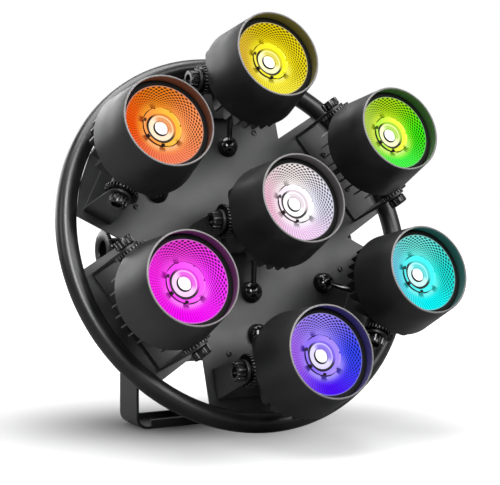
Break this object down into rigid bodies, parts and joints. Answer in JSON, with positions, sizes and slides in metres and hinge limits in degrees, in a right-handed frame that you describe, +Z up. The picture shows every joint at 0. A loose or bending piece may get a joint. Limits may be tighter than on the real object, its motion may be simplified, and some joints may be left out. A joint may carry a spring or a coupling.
{
  "type": "stage wash light",
  "caption": "Stage wash light with tilting lamp heads on a star-shaped plate in a tubular hoop, on a yoke that is its floor stand and hanging bracket.",
  "frame": {"origin": "on the floor, under the middle of the bounding box, with the light standing on its yoke and hoop and leaning back", "axes": "+Z up, -Y towards the audience, +X to the right as the audience sees it, along the axis the light tilts on in its yoke"},
  "size_m": [0.4488, 0.3254, 0.4649],
  "materials": {
    "powder_black": "fine powder coat",
    "satin_black": "satin powder coat",
    "cast_black": "die-cast, satin black paint",
    "knob_black": "moulded, slightly glossy",
    "lead_black": "glossy moulded sheath",
    "reflector_silver": "faceted, vacuum plated",
    "emitter_white": "clear lens in a pale holder",
    "case_metal": "plain folded and finned",
    "board_green": "solder mask",
    "inlet_blue": "moulded"
  },
  "bodies": {
    "yoke": {"yoke": "satin_black"},
    "fixture": {"hoop": "satin_black", "face_plate": "powder_black", "driver_housing": "powder_black", "rear_cover": "powder_black", "power_inlet": "inlet_blue", "power_supply": "case_metal", "control_board": "board_green", "center_bracket": "powder_black", "center_lead": "lead_black", "top_bracket": "powder_black", "top_lead": "lead_black", "upper_right_bracket": "powder_black", "upper_right_lead": "lead_black", "lower_right_bracket": "powder_black", "lower_right_lead": "lead_black", "bottom_bracket": "powder_black", "bottom_lead": "lead_black", "lower_left_bracket": "powder_black", "lower_left_lead": "lead_black", "upper_left_bracket": "powder_black", "upper_left_lead": "lead_black"},
    "center_head": {"center_can": "cast_black", "center_reflector": "reflector_silver", "center_emitter": "emitter_white"},
    "center_knob_a": {"center_knob_a": "knob_black"},
    "center_knob_b": {"center_knob_b": "knob_black"},
    "top_head": {"top_can": "cast_black", "top_reflector": "reflector_silver", "top_emitter": "emitter_white"},
    "top_knob_a": {"top_knob_a": "knob_black"},
    "top_knob_b": {"top_knob_b": "knob_black"},
    "upper_right_head": {"upper_right_can": "cast_black", "upper_right_reflector": "reflector_silver", "upper_right_emitter": "emitter_white"},
    "upper_right_knob_a": {"upper_right_knob_a": "knob_black"},
    "upper_right_knob_b": {"upper_right_knob_b": "knob_black"},
    "lower_right_head": {"lower_right_can": "cast_black", "lower_right_reflector": "reflector_silver", "lower_right_emitter": "emitter_white"},
    "lower_right_knob_a": {"lower_right_knob_a": "knob_black"},
    "lower_right_knob_b": {"lower_right_knob_b": "knob_black"},
    "bottom_head": {"bottom_can": "cast_black", "bottom_reflector": "reflector_silver", "bottom_emitter": "emitter_white"},
    "bottom_knob_a": {"bottom_knob_a": "knob_black"},
    "bottom_knob_b": {"bottom_knob_b": "knob_black"},
    "lower_left_head": {"lower_left_can": "cast_black", "lower_left_reflector": "reflector_silver", "lower_left_emitter": "emitter_white"},
    "lower_left_knob_a": {"lower_left_knob_a": "knob_black"},
    "lower_left_knob_b": {"lower_left_knob_b": "knob_black"},
    "upper_left_head": {"upper_left_can": "cast_black", "upper_left_reflector": "reflector_silver", "upper_left_emitter": "emitter_white"},
    "upper_left_knob_a": {"upper_left_knob_a": "knob_black"},
    "upper_left_knob_b": {"upper_left_knob_b": "knob_black"},
    "yoke_knob_left": {"yoke_knob_left": "knob_black"},
    "yoke_knob_right": {"yoke_knob_right": "knob_black"}
  },
  "joints": [
    {"name": "yoke_tilt", "type": "hinge", "parent": "yoke", "child": "fixture", "pos_m": [0, 0.08002, 0.2009], "axis": [1, 0, 0], "range_deg": [-155, 15]},
    {"name": "center_tilt", "type": "hinge", "parent": "fixture", "child": "center_head", "pos_m": [0, -0.01707, 0.23529], "axis": [1, 0, 0], "range_deg": [-30, 30], "deforming": ["center_lead"]},
    {"name": "center_knob_a_turn", "type": "hinge", "parent": "fixture", "child": "center_knob_a", "pos_m": [-0.069, -0.01707, 0.23529], "axis": [-1, 0, 0], "continuous": true},
    {"name": "center_knob_b_turn", "type": "hinge", "parent": "fixture", "child": "center_knob_b", "pos_m": [0.069, -0.01707, 0.23529], "axis": [1, 0, 0], "continuous": true},
    {"name": "top_tilt", "type": "hinge", "parent": "fixture", "child": "top_head", "pos_m": [0, 0.03834, 0.39176], "axis": [-1, 0, 0], "range_deg": [-30, 60], "deforming": ["top_lead"]},
    {"name": "top_knob_a_turn", "type": "hinge", "parent": "fixture", "child": "top_knob_a", "pos_m": [-0.069, 0.03834, 0.39176], "axis": [-1, 0, 0], "continuous": true},
    {"name": "top_knob_b_turn", "type": "hinge", "parent": "fixture", "child": "top_knob_b", "pos_m": [0.069, 0.03834, 0.39176], "axis": [1, 0, 0], "continuous": true},
    {"name": "upper_right_tilt", "type": "hinge", "parent": "fixture", "child": "upper_right_head", "pos_m": [0.14376, 0.01063, 0.31353], "axis": [-0.5, 0.2891, 0.8163], "range_deg": [-30, 60], "deforming": ["upper_right_lead"]},
    {"name": "upper_right_knob_a_turn", "type": "hinge", "parent": "fixture", "child": "upper_right_knob_a", "pos_m": [0.10926, 0.03058, 0.36985], "axis": [-0.5, 0.2891, 0.8163], "continuous": true},
    {"name": "upper_right_knob_b_turn", "type": "hinge", "parent": "fixture", "child": "upper_right_knob_b", "pos_m": [0.17826, -0.00931, 0.2572], "axis": [0.5, -0.2891, -0.8163], "continuous": true},
    {"name": "lower_right_tilt", "type": "hinge", "parent": "fixture", "child": "lower_right_head", "pos_m": [0.14376, -0.04478, 0.15705], "axis": [0.5, 0.2891, 0.8163], "range_deg": [-30, 60], "deforming": ["lower_right_lead"]},
    {"name": "lower_right_knob_a_turn", "type": "hinge", "parent": "fixture", "child": "lower_right_knob_a", "pos_m": [0.17826, -0.02483, 0.21337], "axis": [0.5, 0.2891, 0.8163], "continuous": true},
    {"name": "lower_right_knob_b_turn", "type": "hinge", "parent": "fixture", "child": "lower_right_knob_b", "pos_m": [0.10926, -0.06472, 0.10072], "axis": [-0.5, -0.2891, -0.8163], "continuous": true},
    {"name": "bottom_tilt", "type": "hinge", "parent": "fixture", "child": "bottom_head", "pos_m": [0, -0.07248, 0.07881], "axis": [-1, 0, 0], "range_deg": [-60, 30], "deforming": ["bottom_lead"]},
    {"name": "bottom_knob_a_turn", "type": "hinge", "parent": "fixture", "child": "bottom_knob_a", "pos_m": [0.069, -0.07248, 0.07881], "axis": [1, 0, 0], "continuous": true},
    {"name": "bottom_knob_b_turn", "type": "hinge", "parent": "fixture", "child": "bottom_knob_b", "pos_m": [-0.069, -0.07248, 0.07881], "axis": [-1, 0, 0], "continuous": true},
    {"name": "lower_left_tilt", "type": "hinge", "parent": "fixture", "child": "lower_left_head", "pos_m": [-0.14376, -0.04478, 0.15705], "axis": [0.5, -0.2891, -0.8163], "range_deg": [-30, 60], "deforming": ["lower_left_lead"]},
    {"name": "lower_left_knob_a_turn", "type": "hinge", "parent": "fixture", "child": "lower_left_knob_a", "pos_m": [-0.10926, -0.06472, 0.10072], "axis": [0.5, -0.2891, -0.8163], "continuous": true},
    {"name": "lower_left_knob_b_turn", "type": "hinge", "parent": "fixture", "child": "lower_left_knob_b", "pos_m": [-0.17826, -0.02483, 0.21337], "axis": [-0.5, 0.2891, 0.8163], "continuous": true},
    {"name": "upper_left_tilt", "type": "hinge", "parent": "fixture", "child": "upper_left_head", "pos_m": [-0.14376, 0.01063, 0.31353], "axis": [-0.5, -0.2891, -0.8163], "range_deg": [-30, 60], "deforming": ["upper_left_lead"]},
    {"name": "upper_left_knob_a_turn", "type": "hinge", "parent": "fixture", "child": "upper_left_knob_a", "pos_m": [-0.17826, -0.00931, 0.2572], "axis": [-0.5, -0.2891, -0.8163], "continuous": true},
    {"name": "upper_left_knob_b_turn", "type": "hinge", "parent": "fixture", "child": "upper_left_knob_b", "pos_m": [-0.10926, 0.03058, 0.36985], "axis": [0.5, 0.2891, 0.8163], "continuous": true},
    {"name": "yoke_knob_left_turn", "type": "hinge", "parent": "fixture", "child": "yoke_knob_left", "pos_m": [-0.15, 0.08002, 0.2009], "axis": [-1, 0, 0], "continuous": true},
    {"name": "yoke_knob_right_turn", "type": "hinge", "parent": "fixture", "child": "yoke_knob_right", "pos_m": [0.15, 0.08002, 0.2009], "axis": [1, 0, 0], "continuous": true}
  ]
}
